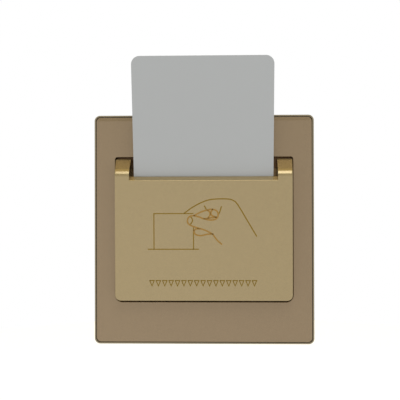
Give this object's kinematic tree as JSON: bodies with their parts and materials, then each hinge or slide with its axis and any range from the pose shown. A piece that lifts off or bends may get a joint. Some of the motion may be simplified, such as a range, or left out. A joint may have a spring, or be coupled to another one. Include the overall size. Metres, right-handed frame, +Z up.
{
  "type": "hotel key card switch",
  "caption": "Wall switch that keeps a room's power on while a key card stands in its pocket, with a sprung slider, a microswitch and a rear housing for a wall box.",
  "frame": {"origin": "on the wall's face, midway between the centres of the two wall box screws", "axes": "X to the viewer's right, +Y into the wall, Z up; the viewer stands on the -Y side"},
  "size_m": [0.086, 0.051, 0.1107],
  "materials": {
    "panel_paint": "moulded plastic with satin taupe metallic paint",
    "rim_paint": "moulded plastic with matt olive gold paint",
    "pocket_paint": "moulded plastic with satin gold metallic paint",
    "module_plastic": "moulded plastic with bronze metallic paint",
    "guide_plastic": "moulded plastic with dark bronze metallic paint",
    "card_plastic": "plain white laminated card, satin",
    "slider_plastic": "moulded acetal, natural",
    "frame_steel": "pressed steel, zinc plated",
    "spring_steel": "hard drawn spring steel",
    "pin_steel": "ground steel",
    "screw_steel": "steel, zinc plated",
    "lead_metal": "brass, tinned",
    "switch_plastic": "moulded, black",
    "button_plastic": "moulded, red",
    "board_laminate": "glass laminate with green solder mask",
    "relay_plastic": "moulded, blue",
    "film_plastic": "moulded box, yellow",
    "fuse_plastic": "moulded, brown",
    "can_aluminium": "drawn can",
    "varistor_coating": "dipped coating, blue",
    "block_plastic": "moulded, dark grey",
    "pillar_brass": "machined brass",
    "housing_plastic": "moulded, light grey"
  },
  "bodies": {
    "switch": {"face_panel": "panel_paint", "edge_frame": "rim_paint", "mounting_frame": "frame_steel", "module_body": "module_plastic", "card_guide": "guide_plastic", "card_springs": "spring_steel", "pocket_cover": "pocket_paint", "guide_pins": "pin_steel", "return_spring": "spring_steel", "microswitch_case": "switch_plastic", "lever_pin": "pin_steel", "microswitch_leads": "lead_metal", "microswitch_screws": "screw_steel", "circuit_board": "board_laminate", "relay": "relay_plastic", "film_capacitor": "film_plastic", "bridge_rectifier": "switch_plastic", "fuse": "fuse_plastic", "smoothing_capacitor": "can_aluminium", "varistor": "varistor_coating", "terminal_block": "block_plastic", "terminal_pillars": "pillar_brass", "terminal_screws": "screw_steel", "rear_housing": "housing_plastic", "housing_screws": "screw_steel"},
    "card": {"key_card": "card_plastic"},
    "pusher": {"card_pusher": "slider_plastic"},
    "lever": {"microswitch_lever": "spring_steel"},
    "button": {"microswitch_button": "button_plastic"}
  },
  "joints": [
    {"name": "card_slide", "type": "slide", "parent": "switch", "child": "card", "axis": [0, -0.2162, 0.9763], "range_m": [0, 0.05]},
    {"name": "pusher_slide", "type": "slide", "parent": "switch", "child": "pusher", "axis": [0, 0, 1], "range_m": [0, 0.004], "deforming": ["return_spring"]},
    {"name": "lever_hinge", "type": "hinge", "parent": "switch", "child": "lever", "pos_m": [0.0218, 0.002, -0.0186], "axis": [0, 1, 0], "range_deg": [0, 17.05]},
    {"name": "button_slide", "type": "slide", "parent": "switch", "child": "button", "axis": [0, 0, 1], "range_m": [0, 0.0009]}
  ],
  "couplings": [
    {"joint": "pusher_slide", "follows": "card_slide", "ratio": 0.08},
    {"joint": "lever_hinge", "follows": "card_slide", "rad_per_m": 5.934},
    {"joint": "button_slide", "follows": "card_slide", "ratio": 0.018}
  ]
}
